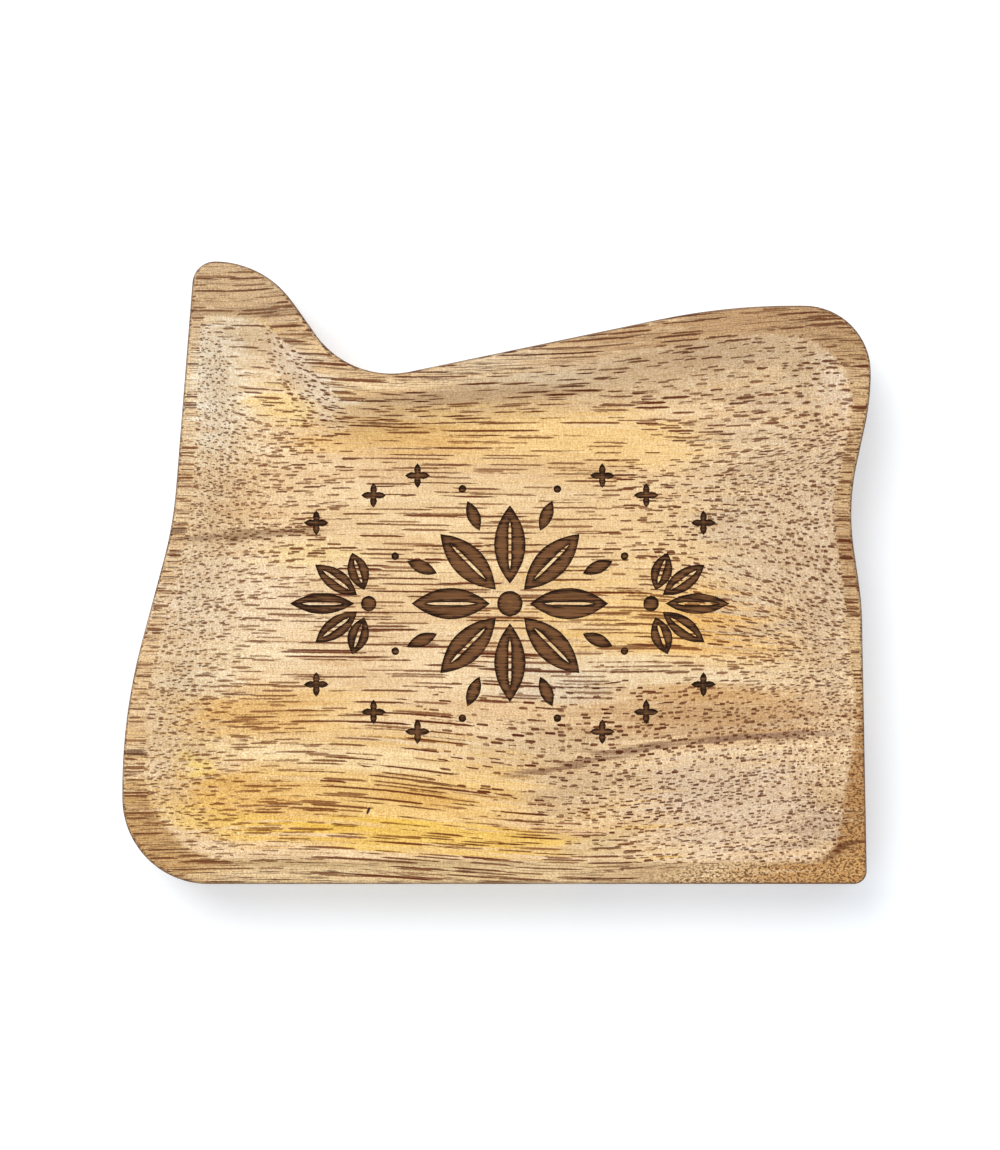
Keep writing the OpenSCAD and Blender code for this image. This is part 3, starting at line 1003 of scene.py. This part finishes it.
def mixHardwood():
    coords = addNode("TexCoord").outputs["Object"]
    place = addNode("VectorMath", {0: coords, "Scale": 1 / mm}, operation="SCALE").outputs["Vector"]
    fades, firm = wood["fades"], wood["firm"]
    gap = attribute("brinkGap")
    outside = calc("GREATER_THAN", gap, wood["outsideFrom"])
    grain = grainSpace(place, outside)

    # Ground colour from loose patches that follow the grain
    strayX, strayY, _ = byChannel(fogNoise(grain, "stray", "Color"))
    x, y, z = apart(place)
    lean = times(minus(block["height"], z), wood["lean"])
    leant = timesPlus(outside, lean, y)
    patchPlace = together(
        plus(x, centred(strayX, wood["warp"][0])),
        plus(leant, centred(strayY, wood["warp"][1])),
        z,
    )
    broad = eased(fogNoise(grain, "ground"), *fades["ground"])
    colour = mixed(broad, tone(wood["groundTan"]), tone(wood["groundLight"]))
    streaks = centred(fogNoise(grain, "edges"), wood["streaky"])

    def patched(colour, patches, within=None):
        full, none = wood["feather"]
        for middle, reach, turn, paint, strength in patches:
            far = plus(farFrom(patchPlace, middle, reach, turn), streaks)
            cover = eased(far, none, full, 0.0, strength)
            if within:
                cover = times(cover, within)
            colour = mixed(cover, colour, tone(paint))
        return colour

    colour = patched(colour, wood["patches"])
    *where, paint = wood["mark"]
    colour = mixed(softSpot(place, *where, firm), colour, tone(paint))
    # Painted light on the arm's walls, kept off the outside
    colour = patched(colour, wood["paintedHollowLight"], minus(1.0, outside))

    # Paler, greyer wood where the wall cuts across the fibres, partly a painted highlight on the walls;
    # much stronger in the arm, where it is painted light on walls turned away from the lamp
    wall = wood["wall"]
    onWall = times(eased(gap, *wall["starts"]), eased(gap, *wall["stops"]))
    paleAndLit = timesPlus(softSpot(place, *wall["paintedLightArmSpot"]), wall["paintedLightInArm"], wall["strength"])
    colour = mixed(times(onWall, paleAndLit), colour, tone(wall["colour"]))

    # Browner rim, with its own patches
    rim = wood["rim"]
    ragged = centred(fogNoise(grain, "ragged"), rim["ragged"])
    onRim = eased(plus(gap, ragged), -rim["fade"], rim["fade"])
    colour = mixed(onRim, colour, (*rim["tint"], 1.0), "MULTIPLY")
    colour = patched(colour, wood["rimPatches"], onRim)

    # Pores take a redder ink in golden wood
    red, _, blue = byChannel(colour)
    warm = eased(minus(red, blue), *fades["warm"])

    # Fibres, cross ripple, speckle and clouds, all as gentle lights and darks
    fibres = fogNoise(grain, "fibres")
    threads = fogNoise(grain, "threads")
    ripple = fogNoise(grain, "ripple")
    speckle = fogNoise(place, "speckle")
    dashed = softSpot(patchPlace, *wood["dashField"], inner=firm)
    cutEnds = larger(eased(calc("ABSOLUTE", x), *wood["ends"]), dashed)
    smoother = softSpot(place, *wood["sparse"][0][:2])
    smoother = timesPlus(smoother, -wood["smoothArm"], 1.0)
    cutEnds = times(cutEnds, smoother)
    speckled = timesPlus(cutEnds, wood["cutEnds"], 1.0)
    speckled = times(centred(speckle, 1.0), speckled)
    clouds = fogNoise(grain, "clouds")
    shade = wood["lift"]
    details = {"fibres": fibres, "threads": threads, "ripple": ripple, "clouds": clouds}
    for name, value in details.items():
        shade = plus(centred(value, wood[name]), shade)
    shade = timesPlus(speckled, wood["speckle"], shade)
    shade = larger(shade, wood["darkest"])
    warmer = wood["warmDarks"]
    deep = times(shade, timesPlus(shade, warmer, 1.0 - warmer))
    deepest = times(shade, shade)
    shades = addNode("CombineColor", {0: shade, 1: deep, 2: deepest}).outputs[0]
    colour = mixed(1.0, colour, shades, "MULTIPLY")

    # Dark streaks on the rim, and its mottled corner
    streaked = times(fibres, 1.0 - rim["threads"])
    streaked = timesPlus(threads, rim["threads"], streaked)
    mottle = wood["mottle"]
    mottled = 0.0
    for middle, reach in mottle["spots"]:
        mottled = larger(mottled, softSpot(patchPlace, middle, reach, inner=firm))
    mottled = times(mottled, onRim)
    plain = minus(1.0, mottled)
    calmer = plain
    for middle, reach, less in rim["calm"]:
        calmer = timesPlus(softSpot(place, middle, reach), -less, calmer)
    streaked = eased(streaked, *fades["streaks"], 0.0, rim["streaks"])
    streaked = times(times(onRim, calmer), streaked)
    colour = mixed(streaked, colour, tone(rim["streak"]))
    curls = eased(fogNoise(place, "mottle"), *fades["mottle"], 0.0, mottle["strength"])
    colour = mixed(times(curls, mottled), colour, tone(mottle["colour"]))

    # Pores: lines that shorten to dots at the ends, and a field of dashes
    density = eased(fogNoise(grain, "pores"), *wood["poreShare"])
    for middle, reach, less in wood["sparse"]:
        fewer = timesPlus(softSpot(place, middle, reach), -less, 1.0)
        density = times(density, fewer)
    _, shakeY, shakeZ = byChannel(fogNoise(place, "shake", "Color"))
    jitter = wood["poreJitter"]
    shaken = together(0.0, centred(shakeY, jitter), centred(shakeZ, jitter))
    shaken = vecCalc("ADD", grain, shaken)
    dashed = times(dashed, calc("LESS_THAN", onRim, 0.5))
    lined = times(density, minus(plain, dashed))
    dashed = times(density, dashed)
    long = squeezed(shaken, onRim)
    east = apart(place)[0]
    start, end = wood["ends"]
    left, right = wood["endPores"]
    left = eased(east, -start, -end, 1.0, left)
    atEnds = times(left, eased(east, start, end, 1.0, right))
    ink = mixed(warm, tone(wood["poreDark"]), tone(wood["poreRed"]))
    start, end, small, filled = wood["fineDots"]
    fine = times(onWall, eased(east, start, end))
    size = timesPlus(fine, small - 1.0, 1.0)
    dashed = larger(dashed, times(fine, filled))
    dark = 0.0
    for layer in wood["pores"]:
        dark = larger(dark, poreLayer(long, layer, lined, size))
    steady, quicker = wood["dashPull"]
    x, y, z = apart(shaken)
    right = larger(x, 0.0)
    right = times(times(right, right), quicker)
    pulled = together(timesPlus(x, steady, right), y, z)
    dark = larger(dark, poreLayer(pulled, wood["dashes"], dashed, size))
    dark = times(dark, atEnds)
    colour = mixed(dark, colour, (*wood["poreStain"], 1.0), "MULTIPLY")
    colour = mixed(calc("POWER", dark, wood["poreSoak"]), colour, ink)

    # Dark line round the upper edge: partly darker sanded wood, partly painted shade where the rounding
    # turns down, away from the light
    patchy = eased(fogNoise(place, "darkEdgeAndShade"), *wood["darkEdgeAndShadeFade"])
    line = times(attribute("darkEdgeAndShade"), patchy)
    colour = mixed(line, colour, tone(wood["darkEdgeAndShade"]))

    # Burnt cuts
    inward = attribute("burnEdge")
    scorch = fogNoise(grain, "scorch")
    depth = plus(inward, centred(scorch, burn["wander"]))
    char = mixed(eased(depth, *burn["edgeWidth"]), tone(burn["edge"]), tone(burn["middle"]))
    start, end, most = burn["paleFrom"]
    char = mixed(eased(depth, start, end, 0.0, most), char, tone(burn["pale"]))
    scorched = plus(centred(scorch, burn["streaks"]), 1.0)
    scorched = addNode("CombineColor", {0: scorched, 1: scorched, 2: scorched}).outputs[0]
    char = mixed(1.0, char, scorched, "MULTIPLY")
    burnt = attribute("burnt")
    colour = mixed(burnt, colour, char)

    # Roughness and relief
    uneven = wood["uneven"]
    rough = plus(centred(fibres, uneven), centred(speckle, uneven))
    rough = plus(rough, wood["roughness"])
    rough = timesPlus(burnt, burn["roughness"] - wood["roughness"], rough, clamp=True)
    height = times(dark, -wood["poreDepth"])
    height = timesPlus(fibres, wood["fibreDepth"], height)
    height = timesPlus(scorch, times(burnt, burn["relief"]), height)
    bump = addNode("Bump", {"Strength": 1.0, "Distance": mm, "Height": height})
    surface = addNode("BsdfPrincipled", {
        "Base Color": colour,
        "Roughness": rough,
        "Normal": bump.outputs[0],
        "IOR": 1.45,
        "Specular IOR Level": wood["sheen"],
    })
    out = addNode("OutputMaterial")
    tree.links.new(surface.outputs[0], out.inputs["Surface"])
    print("Hardwood mixed:", len(tree.nodes), "nodes")


mixHardwood()
dish.data.materials.append(oiledWood)
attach(dish, "root")
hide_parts("dish_body")


# White table, a pale sky with one large soft window, and the camera straight above
table = {
    "size": 6.0,
    "colour": (0.92, 0.93, 0.945),
    "roughness": 0.8,
    "sheen": 0.1,
    "glow": (0.185, 0.225, 0.265),
}
light = {"sky": 0.74, "place": (-430, 640, 1250), "size": 900, "power": 9.95}
# Height over the dish, middle of the view and the depth it shows, in mm; clip distances in metres
camera = {"above": 600.0, "middle": (0.53, -0.34), "shows": 173.4, "sensor": 36.0, "clip": (0.01, 20.0)}


def makeTable():
    half = table["size"] / 2
    mesh = bpy.data.meshes.new("whiteTable")
    corners = [(x * half, y * half, 0) for x, y in ((-1, -1), (1, -1), (1, 1), (-1, 1))]
    mesh.from_pydata(corners, [], [(0, 1, 2, 3)])
    material = bpy.data.materials.new("whiteTable")
    material.use_nodes = True
    surface = material.node_tree.nodes["Principled BSDF"]
    surface.inputs["Base Color"].default_value = (*table["colour"], 1.0)
    surface.inputs["Roughness"].default_value = table["roughness"]
    surface.inputs["Specular IOR Level"].default_value = table["sheen"]
    surface.inputs["Emission Color"].default_value = (*table["glow"], 1.0)
    surface.inputs["Emission Strength"].default_value = 1.0
    mesh.materials.append(material)
    addObject("whiteTable", mesh)


def makeLight():
    world = bpy.data.worlds.new("studioSky")
    world.use_nodes = True
    sky = world.node_tree.nodes["Background"]
    sky.inputs["Color"].default_value = (1.0, 1.0, 1.0, 1.0)
    sky.inputs["Strength"].default_value = light["sky"]
    bpy.context.scene.world = world
    window = bpy.data.lights.new("window", "AREA")
    window.shape = "DISK"
    window.size = light["size"] * mm
    window.energy = light["power"]
    stand = addObject("window", window)
    stand.location = Vector(light["place"]) * mm
    stand.rotation_euler = (-stand.location).to_track_quat("-Z", "Y").to_euler()


def makeCamera():
    lens = bpy.data.cameras.new("overhead")
    lens.sensor_fit = "VERTICAL"
    lens.sensor_height = camera["sensor"]
    lens.lens = camera["sensor"] * camera["above"] / camera["shows"]
    lens.clip_start, lens.clip_end = camera["clip"]
    overhead = addObject("overhead", lens)
    x, y = camera["middle"]
    overhead.location = Vector((x, y, block["height"] + camera["above"])) * mm
    bpy.context.scene.camera = overhead


makeTable()
makeLight()
makeCamera()
bpy.context.scene.view_settings.view_transform = "Standard"
print("Table, light and camera set")
